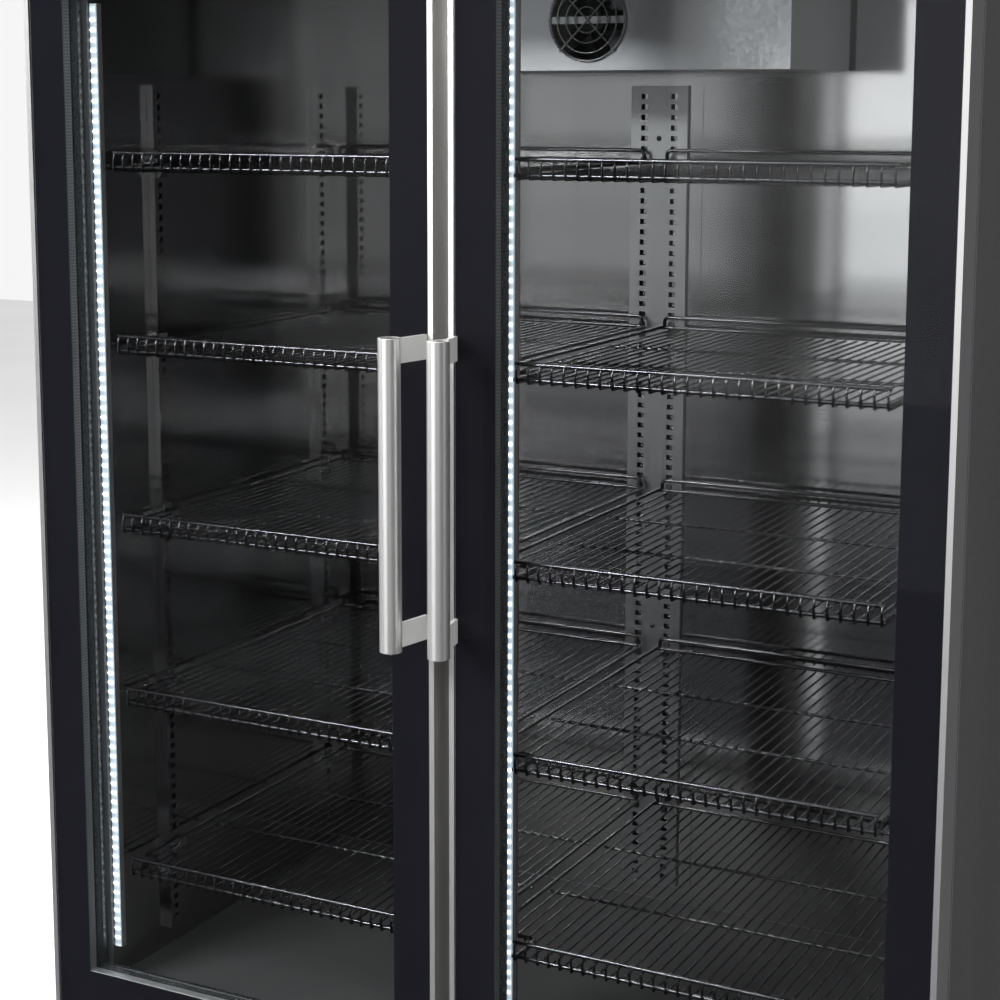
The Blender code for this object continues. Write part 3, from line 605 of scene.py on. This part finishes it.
def build_handle(side_name):
    """A satin tube with flat caps let into its ends."""
    body = f"door_{side_name}"
    low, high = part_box(f"handle_bar_{side_name}")
    middle = (low + high) / 2
    radius = (high.x - low.x) / 2
    wall, chamfer, sunk, open_end, cap = 0.0016, 0.0006, 0.0005, 0.012, 0.0060
    bore = radius - wall
    tube = Shape()
    tube.turned([(bore, low.z + open_end), (bore, low.z), (radius - chamfer, low.z),
                 (radius, low.z + chamfer), (radius, high.z - chamfer), (radius - chamfer, high.z),
                 (bore, high.z), (bore, high.z - open_end)],
                Vector((middle.x, middle.y, 0.0)), sides=64)
    tube.piece(f"handle_tube_{side_name}", HANDLE_METAL, body,
               stands_for=[f"handle_bar_{side_name}"])
    caps = Shape()
    lid = [(0.0, -sunk), (bore - 0.0012, -sunk), (bore - 0.0002, -0.0010 - sunk),
           (bore - 0.0002, -cap - sunk), (0.0, -cap - sunk)]
    caps.turned(lid, Vector((middle.x, middle.y, high.z)))
    caps.turned(lid, Vector((middle.x, middle.y, low.z)), (0, 0, -1))
    caps.piece(f"handle_caps_{side_name}", CAP_METAL, body)


# ---- shelves ------------------------------------------------------------------------------------
def build_shelf(side_name, row):
    """A wire shelf: an outline of thick rod, and thin wires that turn up into its front rail."""
    side = SIDES[side_name]
    node = f"shelf_{side_name}_{row}"
    low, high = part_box(node)
    inset, rail_depth, corner = 0.003, 0.061, 0.009
    level = low.z + inset
    inner, outer = sorted((abs(low.x), abs(high.x)))
    inner, outer = inner + FRAME_ROD, outer - FRAME_ROD
    front = depth_of(low.y) + inset
    rear = depth_of(high.y) - FRAME_ROD
    notch = front + rail_depth
    last = FENCE[side_name]
    grid_z = level - FRAME_ROD - WIRE
    shelf = Shape()

    def spot(x, depth, z):
        return at(side * x, depth, z)

    outline = [(FENCE_START, front), (FENCE_START, notch), (inner, notch), (inner, rear),
               (outer, rear), (outer, notch), (last, notch), (last, front)]
    shelf.tube(rounded([spot(x, depth, level) for x, depth in outline], corner), FRAME_ROD, 12)
    top = level + RAIL_HEIGHT
    tip = 0.001
    for z, overhang in ((level, 0.0045), (top, 0.0030)):
        rail = (FENCE_START - overhang, FENCE_START - overhang + tip,
                last + overhang - tip, last + overhang)
        shelf.tube([spot(x, front, z) for x in rail], FRAME_ROD, 12)
    stop = level + STOP_HEIGHT
    stop_inset, stop_corner = 0.006, 0.008
    bent = ((inner + stop_inset, level), (inner + stop_inset, stop),
            (outer - stop_inset, stop), (outer - stop_inset, level))
    shelf.tube(rounded([spot(x, rear, z) for x, z in bent], stop_corner), FRAME_ROD, 12)
    cross_z = grid_z - WIRE - 0.0022
    for part in CROSS_ROD_PLACES:
        depth = front + (rear - front) * part
        shelf.tube([spot(inner, depth, cross_z), spot(outer, depth, cross_z)], CROSS_ROD, 10)

    pitch = (last - FENCE_START) / (UPRIGHTS - 1)
    margin = 0.004
    first_index = -int((FENCE_START - inner - margin) / pitch)
    last_index = UPRIGHTS - 1 + int((outer - margin - last) / pitch)
    face = front - FRAME_ROD - WIRE * 0.6
    for index in range(first_index, last_index + 1):
        x = FENCE_START + index * pitch
        if 0 <= index < UPRIGHTS:
            wire = [spot(x, rear, grid_z), spot(x, face, grid_z),
                    spot(x, face, top - 0.0075), spot(x, front - 0.0010, top - 0.0010)]
            shelf.tube(rounded(wire, 0.003, 3), WIRE)
        else:
            shelf.tube([spot(x, rear, grid_z), spot(x, notch, grid_z)], WIRE)
    shelf.piece(f"wire_shelf_{side_name}_{row}", WIRE_COAT, stands_for=[node],
                smooth=60)


def build_clips():
    """Bent clips on the side pilasters and hooks on the centre one, with a lip under each shelf."""
    for side_name, side in SIDES.items():
        clips = Shape()
        for row in range(1, SHELVES_PER_BAY + 1):
            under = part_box(f"shelf_{side_name}_{row}")[0].z - CLIP_GAP
            for place in ("front", "rear"):
                post_low, post_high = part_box(f"pilaster_{side_name}_{place}")
                face_x = min(abs(post_low.x), abs(post_high.x))
                depth = depth_of((post_low.y + post_high.y) / 2)
                half = 0.0080
                outline = [(face_x - 0.0005, under - 0.0160), (face_x - 0.0005, under + 0.0120),
                           (face_x - 0.0020, under + 0.0120), (face_x - 0.0020, under - 0.0015),
                           (face_x - 0.0150, under - 0.0015), (face_x - 0.0150, under + 0.0030),
                           (face_x - 0.0162, under + 0.0030), (face_x - 0.0162, under - 0.0030),
                           (face_x - 0.0040, under - 0.0160)]
                clips.extrude([at(side * x, depth - half, z) for x, z in outline], (0, 2 * half, 0))
        clips.piece(f"shelf_clips_{side_name}", PILASTER_STEEL)
    hooks = Shape()
    face = depth_of(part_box("pilaster_centre")[0].y)
    half = 0.0030
    for row in range(1, SHELVES_PER_BAY + 1):
        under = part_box(f"shelf_right_{row}")[0].z - CLIP_GAP
        for x in (-SLOT_COLUMN, SLOT_COLUMN):
            outline = [(face + 0.0004, under + 0.012), (face - 0.0012, under + 0.012),
                       (face - 0.0012, under - 0.0004), (face - 0.0200, under - 0.0004),
                       (face - 0.0200, under - 0.0022), (face - 0.0030, under - 0.0150),
                       (face + 0.0004, under - 0.0150)]
            hooks.extrude([at(x - half, depth, z) for depth, z in outline], (2 * half, 0, 0))
    hooks.piece("shelf_hooks_centre", PILASTER_STEEL)


# ---- pilasters and lights -----------------------------------------------------------------------
def slot_lines(low_z, high_z):
    """Heights of a pilaster's ends and its slots' edges. Every second space is a slot."""
    lines = [low_z]
    count = int((high_z - low_z - SLOT_PITCH) / SLOT_PITCH)
    start = low_z + (high_z - low_z - count * SLOT_PITCH) / 2 + (SLOT_PITCH - SLOT[1]) / 2
    for index in range(count):
        lines += [start + index * SLOT_PITCH, start + index * SLOT_PITCH + SLOT[1]]
    lines.append(high_z)
    return lines


def build_centre_pilaster():
    """The broad pilaster: a raised face with two rows of slots, flanges on the wall, and screws."""
    low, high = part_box("pilaster_centre")
    half = 0.0465
    half_slot = SLOT[0] / 2
    x_lines = [-half, -SLOT_COLUMN - half_slot, -SLOT_COLUMN + half_slot,
               SLOT_COLUMN - half_slot, SLOT_COLUMN + half_slot, half]
    face = Shape()
    face.pierced(x_lines, slot_lines(low.z, high.z), lambda i, j: i in (1, 3) and j % 2 == 1,
                 lambda x, z: Vector((x, low.y, z)), (0, PILASTER_SHEET, 0))
    flanges = Shape()
    for side in (-1, 1):
        face.block((side * (half - PILASTER_SHEET), low.y + PILASTER_SHEET, low.z),
                   (side * half, high.y, high.z))
        flanges.block((side * half, high.y - PILASTER_SHEET, low.z),
                      (side * high.x, high.y, high.z))
    flanges.piece("pilaster_flanges", WALL_STEEL)
    face.piece("slotted_pilaster_centre", PILASTER_STEEL,
               stands_for=["pilaster_centre"])
    screws = Shape()
    for z in (low.z + 0.045, low.z + 0.430, low.z + 0.815, high.z - 0.080):
        screws.turned(SCREW_HEAD, Vector((0.0, low.y, z)), (0, -1, 0), 20)
    screws.piece("pilaster_screws", BLACK_PLASTIC)


def build_side_pilasters():
    """The narrow side pilasters: a face with one row of slots, bent back to the wall."""
    for side_name, side in SIDES.items():
        for place in ("front", "rear"):
            node = f"pilaster_{side_name}_{place}"
            low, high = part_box(node)
            face_x = side * min(abs(low.x), abs(high.x))
            wall_x = side * max(abs(low.x), abs(high.x))
            middle = (low.y + high.y) / 2
            half_slot = SLOT[0] / 2
            y_lines = [low.y, middle - half_slot, middle + half_slot, high.y]
            inward = side * PILASTER_SHEET
            post = Shape()
            post.pierced(y_lines, slot_lines(low.z, high.z), lambda i, j: i == 1 and j % 2 == 1,
                         lambda y, z, x=face_x: Vector((x, y, z)), (inward, 0, 0))
            for y0, y1 in ((low.y, low.y + PILASTER_SHEET), (high.y - PILASTER_SHEET, high.y)):
                post.block((face_x + inward, y0, low.z), (wall_x, y1, high.z))
            post.piece(f"slotted_{node}", WALL_STEEL, stands_for=[node])


def build_light(bay):
    """A light strip: a channel, a bowed cover with its row of diodes, and glowing edges."""
    node = f"light_{bay}_bay"
    low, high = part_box(node)
    cover_width, cover_bow, lip = 0.0106, 0.0028, 0.0010
    seat = low.y + 0.0032
    edge = low.x + cover_width
    channel = Shape()
    channel.block((low.x, seat, low.z), (high.x, high.y, high.z))
    channel.block((high.x - lip, low.y + 0.0004, low.z), (high.x, seat, high.z))
    channel.piece(f"light_channel_{bay}", ALUMINIUM, stands_for=[node], bevel=0.0002)
    glow = Shape()
    glow.block((low.x + lip, high.y + 0.0001, low.z), (high.x - lip, high.y + 0.0012, high.z))
    glow.piece(f"light_rear_cover_{bay}", REAR_GLOW, bevel=0.0003)
    side = Shape()
    side.block((edge + 0.0001, low.y + 0.0012, low.z), (high.x - 0.0011, seat - 0.0001, high.z))
    side.piece(f"light_cover_side_{bay}", COVER_EDGE)
    cover = Shape()
    middle = low.x + cover_width / 2
    arc = [math.pi * k / 12 for k in range(1, 12)]
    outline = [Vector((middle - cover_width / 2 * math.cos(angle),
                       seat - cover_bow * math.sin(angle) ** 0.5, low.z)) for angle in arc]
    outline = [Vector((low.x, seat, low.z))] + outline + [Vector((edge, seat, low.z))]
    cover.extrude(outline, (0, 0, high.z - low.z))
    cover.piece(f"light_cover_{bay}", LED_COVER, smooth=60)
    diodes = Shape()
    half_width, half_height, sides = 0.0048, 0.0023, 16
    angles = [math.tau * k / sides for k in range(sides)]
    for index in range(1, int((high.z - low.z) / LED_PITCH)):
        z = low.z + index * LED_PITCH
        rows = []
        for reach, lift in ((1.0, 0.0006), (0.96, 0.0002), (0.75, 0.00005), (0.4, 0.0)):
            rows.append([Vector((middle + half_width * reach * math.cos(angle), low.y + lift,
                                 z + half_height * reach * math.sin(angle))) for angle in angles])
        diodes.strip(rows)
    diodes.piece(f"light_diodes_{bay}", LED)


def build_mullion_cover():
    """Black wiring cover clipped on the back of the mullion."""
    low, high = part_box("centre_mullion")
    margin = 0.004
    cover = Shape()
    outline = [(-0.056, 0.0001), (-0.056, 0.0012), (-0.054, 0.0022), (0.010, 0.0022),
               (0.012, 0.0012), (0.012, 0.0001)]
    cover.extrude([Vector((x, high.y + reach, low.z + margin)) for x, reach in outline],
                  (0, 0, high.z - low.z - 2 * margin))
    cover.piece("mullion_back_cover", BLACK_PLASTIC)


# ---- outside ------------------------------------------------------------------------------------
def build_feet():
    """Levelling feet: a ribbed rubber pad, a hub with a hexagon and a threaded stem."""
    for place in ("front", "rear"):
        for side_name in SIDES:
            node = f"foot_{place}_{side_name}"
            low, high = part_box(node)
            centre = Vector(((low.x + high.x) / 2, (low.y + high.y) / 2, 0.0))
            pad = (high.x - low.x) / 2
            foot = Shape()
            foot.turned([(0.0, 0.0), (pad - 0.002, 0.0), (pad, 0.002), (pad, 0.006),
                         (pad - 0.0015, 0.007), (pad - 0.0015, 0.009), (pad - 0.003, 0.011),
                         (0.014, 0.017), (0.012, 0.022), (0.0, 0.022)], centre)
            foot.piece(f"foot_pad_{place}_{side_name}", BLACK_PLASTIC, node,
                       stands_for=[node])
            hexagon, hexagon_low, hexagon_high = 0.0115, 0.0222, 0.031
            thread_low, thread_pitch, root, crest = 0.0315, 0.00175, 0.0050, 0.0058
            stem = Shape()
            stem.turned([(0.0, hexagon_low), (hexagon, hexagon_low), (hexagon, hexagon_high),
                         (0.0, hexagon_high)], centre, sides=6)
            thread = [(0.0, 0.0312)]
            for index in range(int((high.z - thread_low) / thread_pitch)):
                z = thread_low + index * thread_pitch
                thread += [(root, z), (crest, z + 0.0008)]
            thread += [(root, high.z - 0.0004), (0.0, high.z)]
            stem.turned(thread, centre, sides=20)
            stem.piece(f"foot_stem_{place}_{side_name}", SCREW_METAL, node)


def build_header_details():
    """A bright strip along the header, the controller's window, keys and digits, and the switch."""
    low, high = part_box("header_panel")
    header_front = depth_of(low.y)
    trim = Shape()
    trim.block((low.x + 0.001, low.y - 0.0008, low.z + 0.001),
               (high.x - 0.001, low.y - 0.0001, low.z + 0.008))
    trim.piece("header_trim", ALUMINIUM)

    low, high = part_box("controller")
    front = low.y
    centre = (low + high) / 2
    window = Shape()
    window.block((centre.x - 0.030, front - 0.0010, centre.z - 0.012),
                 (centre.x + 0.008, front - 0.0001, centre.z + 0.012))
    window.piece("controller_window", HEADER_PAINT, bevel=0.0003)
    keys = Shape()
    for column in (0.0165, 0.0290):
        for row in (-0.007, 0.007):
            x, z = centre.x + column, centre.z + row
            keys.block((x - 0.0045, front - 0.0014, z - 0.0042),
                       (x + 0.0045, front - 0.0001, z + 0.0042))
    keys.piece("controller_keys", BEAD, bevel=0.0006)
    digits = Shape()
    thick, length = 0.0012, 0.0060
    half_thick, half_length = thick / 2, length / 2 - 0.0008
    # The seven bars of a digit: their places from its middle, and which of them lie flat.
    bars = {"a": (0.0, length, True), "g": (0.0, 0.0, True), "d": (0.0, -length, True),
            "b": (length / 2, length / 2, False), "c": (length / 2, -length / 2, False),
            "f": (-length / 2, length / 2, False), "e": (-length / 2, -length / 2, False)}
    for middle_x, lit in ((centre.x - 0.0180, "abgcd"), (centre.x - 0.0060, "abcdef")):
        for key in lit:
            dx, dz, flat = bars[key]
            half_x, half_z = (half_length, half_thick) if flat else (half_thick, half_length)
            x, z = middle_x + dx, centre.z + dz
            digits.block((x - half_x, front - 0.0013, z - half_z),
                         (x + half_x, front - 0.00105, z + half_z))
    digits.piece("controller_digits", DISPLAY)

    low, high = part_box("light_switch")
    middle = (low.z + high.z) / 2
    rocker = Shape()
    outline = [(low.y + 0.0016, middle), (low.y, high.z), (high.y, high.z), (high.y, low.z),
               (low.y, low.z)]
    rocker.extrude([Vector((low.x, y, z)) for y, z in outline], (high.x - low.x, 0, 0))
    rocker.piece("light_rocker", BEAD, "light_switch", stands_for=["light_switch"],
                 bevel=0.0005)
    mark = Shape()
    mark.block(((low.x + high.x) / 2 - 0.0004, low.y + 0.0002, middle + 0.0028),
               ((low.x + high.x) / 2 + 0.0004, low.y + 0.0008, middle + 0.0056))
    mark.piece("rocker_mark", LABEL, "light_switch")
    collar = Shape()
    opening = (low.x - 0.0012, high.x + 0.0012, low.z - 0.0017, high.z + 0.0017)
    near, far = header_front - 0.0012, header_front - 0.0002
    collar.ring([grown(opening, 0.0035, far), grown(opening, 0.0030, near),
                 grown(opening, 0.0004, near), grown(opening, 0.0, far)])
    collar.piece("switch_collar", BLACK_PLASTIC)


def build_back_details():
    """Hoods over the louvres, screws round the back panel, a blank plate and the inlet's pins."""
    low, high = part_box("outer_back")
    back = high.y
    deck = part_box("unit_deck")[1].z
    hoods = Shape()
    half_hood, louvre_pitch = 0.162, 0.030
    for x in (-0.25, 0.25):
        for row in range(6):
            z = deck + 0.055 + row * louvre_pitch + 0.005
            outline = [(0.0001, 0.0045), (0.0008, 0.0040), (0.0016, 0.0020), (0.0018, -0.0030),
                       (0.0013, -0.0030), (0.0011, 0.0015), (0.0001, 0.0030)]
            hoods.extrude([Vector((x - half_hood, back + out, z + up)) for out, up in outline],
                          (2 * half_hood, 0, 0))
    hoods.piece("back_louvre_hoods", ZINC)
    screws = Shape()
    tallest_head = 0.0014
    flat = [(radius, min(height, tallest_head)) for radius, height in SCREW_HEAD]
    margin = 0.060
    places = [(x, low.z + margin + index * (high.z - low.z - 2 * margin) / 6)
              for index in range(7) for x in (low.x + 0.015, high.x - 0.015)]
    places += [(low.x + index * (high.x - low.x) / 5, z)
               for index in range(1, 5) for z in (low.z + 0.020, deck - 0.012, high.z - 0.020)]
    for x, z in places:
        screws.turned(flat, Vector((x, back, z)), (0, 1, 0), 20)
    screws.piece("back_screws", SCREW_METAL)
    plate = Shape()
    plate.block((0.380, back, deck - 0.135), (0.480, back + 0.0006, deck - 0.075))
    plate.piece("blank_rating_plate", LABEL, bevel=0.0002)

    inlet_low, inlet_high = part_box("power_inlet")
    centre = (inlet_low + inlet_high) / 2
    pins = Shape()
    for dx, dz in ((-0.0070, -0.0022), (0.0070, -0.0022), (0.0, 0.0028)):
        pins.block((centre.x + dx - 0.0010, back - 0.0182, centre.z + dz - 0.0020),
                   (centre.x + dx + 0.0010, back - 0.0030, centre.z + dz + 0.0020))
    pins.piece("inlet_pins", SCREW_METAL, bevel=0.0003)


def build_fan_guard():
    """A guard in front of the evaporator fan: wire rings on two crossed bars."""
    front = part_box("evaporator_housing")[0].y
    low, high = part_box("evaporator_fan")
    centre = (low + high) / 2
    sides, ring_wire, bar_wire, bar_reach = 48, 0.0011, 0.0012, 0.062
    guard = Shape()
    angles = [math.tau * k / sides for k in range(sides + 1)]
    for radius in (0.018, 0.032, 0.046, 0.058):
        ring = [Vector((centre.x + radius * math.cos(angle), front - 0.0035,
                        centre.z + radius * math.sin(angle))) for angle in angles]
        guard.tube(ring, ring_wire)
    middle = Vector((centre.x, front - 0.0015, centre.z))
    for angle in (math.pi / 4, 3 * math.pi / 4):
        reach = Vector((math.cos(angle), 0, math.sin(angle))) * bar_reach
        guard.tube([middle - reach, middle + reach], bar_wire)
    guard.piece("evaporator_fan_guard", SCREW_METAL, smooth=60)


# ---- stage --------------------------------------------------------------------------------------
def build_stage():
    """The pale floor, and a world that is bright to the camera but dark in mirrors."""
    floor_mesh = bpy.data.meshes.new("floor")
    bm = bmesh.new()
    bmesh.ops.create_grid(bm, x_segments=1, y_segments=1, size=9.0)
    bm.to_mesh(floor_mesh)
    bm.free()
    floor = bpy.data.objects.new("floor", floor_mesh)
    bpy.context.scene.collection.objects.link(floor)
    floor.location.z = -0.0002
    floor.visible_glossy = False
    n = Nodes("pale_floor")
    n.tint(n.noise((0.8, 0.8, 0.8), detail=2.0), (0.80, 0.80, 0.80), (0.84, 0.84, 0.84))
    fill(n.shader, Roughness=0.9, Specular_IOR_Level=0.2)
    floor_mesh.materials.append(n.material)

    world = bpy.data.worlds.new("studio")
    bpy.context.scene.world = world
    world.use_nodes = True
    tree = world.node_tree
    tree.nodes.clear()
    path = tree.nodes.new("ShaderNodeLightPath")

    def background(colour):
        node = tree.nodes.new("ShaderNodeBackground")
        fill(node, Color=(*colour, 1.0))
        return node.outputs["Background"]

    def choose(ray, otherwise, then):
        node = tree.nodes.new("ShaderNodeMixShader")
        tree.links.new(path.outputs[ray], node.inputs["Fac"])
        tree.links.new(otherwise, node.inputs[1])
        tree.links.new(then, node.inputs[2])
        return node.outputs["Shader"]

    ambient = background((0.85, 0.85, 0.85))
    mirrored = background((0.05, 0.05, 0.055))
    pale = background((0.92, 0.92, 0.92))
    seen = choose("Is Camera Ray", choose("Is Glossy Ray", ambient, mirrored), pale)
    output = tree.nodes.new("ShaderNodeOutputWorld")
    tree.links.new(seen, output.inputs["Surface"])


def softbox(name, centre, target, size, radiance):
    """A rectangular lamp of a given brightness that faces a point."""
    lamp = bpy.data.lights.new(name, "AREA")
    lamp.shape = "RECTANGLE"
    lamp.size, lamp.size_y = size
    lamp.energy = radiance * math.pi * size[0] * size[1]
    obj = bpy.data.objects.new(name, lamp)
    bpy.context.scene.collection.objects.link(obj)
    obj.location = centre
    obj.rotation_euler = (Vector(target) - Vector(centre)).to_track_quat("-Z", "Y").to_euler()
    obj.visible_camera = False


def build_lights():
    """Stacks of softboxes that the liner mirrors through the doors, and others all round."""
    stack_y = FRONT_Y - 3.5
    stacks = (("through_door", -0.57, 1.12, 1.0), ("dim", -2.02, 1.10, 0.28))
    for low, high, radiance in ((1.15, 2.35, 1.60), (0.60, 1.15, 1.35), (0.05, 0.60, 0.50)):
        middle = (low + high) / 2
        for kind, x, width, share in stacks:
            softbox(f"softbox_{kind}_{round(middle * 100)}", (x, stack_y, middle), (x, 0.0, middle),
                    (width, high - low), radiance * share)
    for name, centre, target, size, radiance in (
            ("high_front", (-1.95, FRONT_Y - 3.1, 3.2), (-0.4, FRONT_Y, 1.2), (1.6, 1.8), 18.0),
            ("high_left", (-4.2, FRONT_Y - 0.9, 3.0), (0.0, FRONT_Y, 1.2), (2.2, 2.0), 9.0),
            ("over_camera", (1.7, FRONT_Y - 3.3, 3.5), (0.0, FRONT_Y, 1.2), (1.8, 1.6), 4.0),
            ("by_camera", (1.72, FRONT_Y - 3.3, 0.95), (0.0, FRONT_Y, 0.95), (0.60, 1.8), 0.30),
            ("top", (0.3, -0.6, 4.6), (0.0, 0.0, 0.0), (4.2, 4.2), 1.6),
            ("right", (3.8, 0.2, 2.0), (0.4, 0.0, 1.0), (1.6, 2.4), 1.5),
            ("back", (-1.5, 4.2, 2.8), (0.0, 0.0, 1.0), (3.0, 2.4), 0.9)):
        softbox(f"softbox_{name}", centre, target, size, radiance)


def build_camera():
    """The photographed angle: from the front right, at eye height, looking slightly down."""
    camera = bpy.data.cameras.new("camera")
    camera.sensor_width = 36.0
    camera.lens = 71.949
    camera.shift_x = 0.0294
    camera.shift_y = -0.10
    camera.clip_start = 0.05
    obj = bpy.data.objects.new("camera", camera)
    bpy.context.scene.collection.objects.link(obj)
    obj.location = at(1.1952, -2.1736, 1.4799)
    obj.rotation_euler = (math.radians(90.0 - 8.563), 0.0, math.radians(27.9405))
    bpy.context.scene.camera = obj


build_camera()
build_stage()
build_lights()
repaint_frame_nodes()
for door in SIDES:
    build_border(door)
    build_spacer(door)
    build_bead(door)
    build_handle(door)
    build_light(door)
    for shelf_row in range(1, SHELVES_PER_BAY + 1):
        build_shelf(door, shelf_row)
build_mullion_cover()
build_clips()
build_centre_pilaster()
build_side_pilasters()
build_feet()
build_header_details()
build_back_details()
build_fan_guard()

bpy.context.scene.view_settings.view_transform = "Standard"
bpy.context.scene.cycles.transparent_max_bounces = 32    # panes and borders, seen through each other
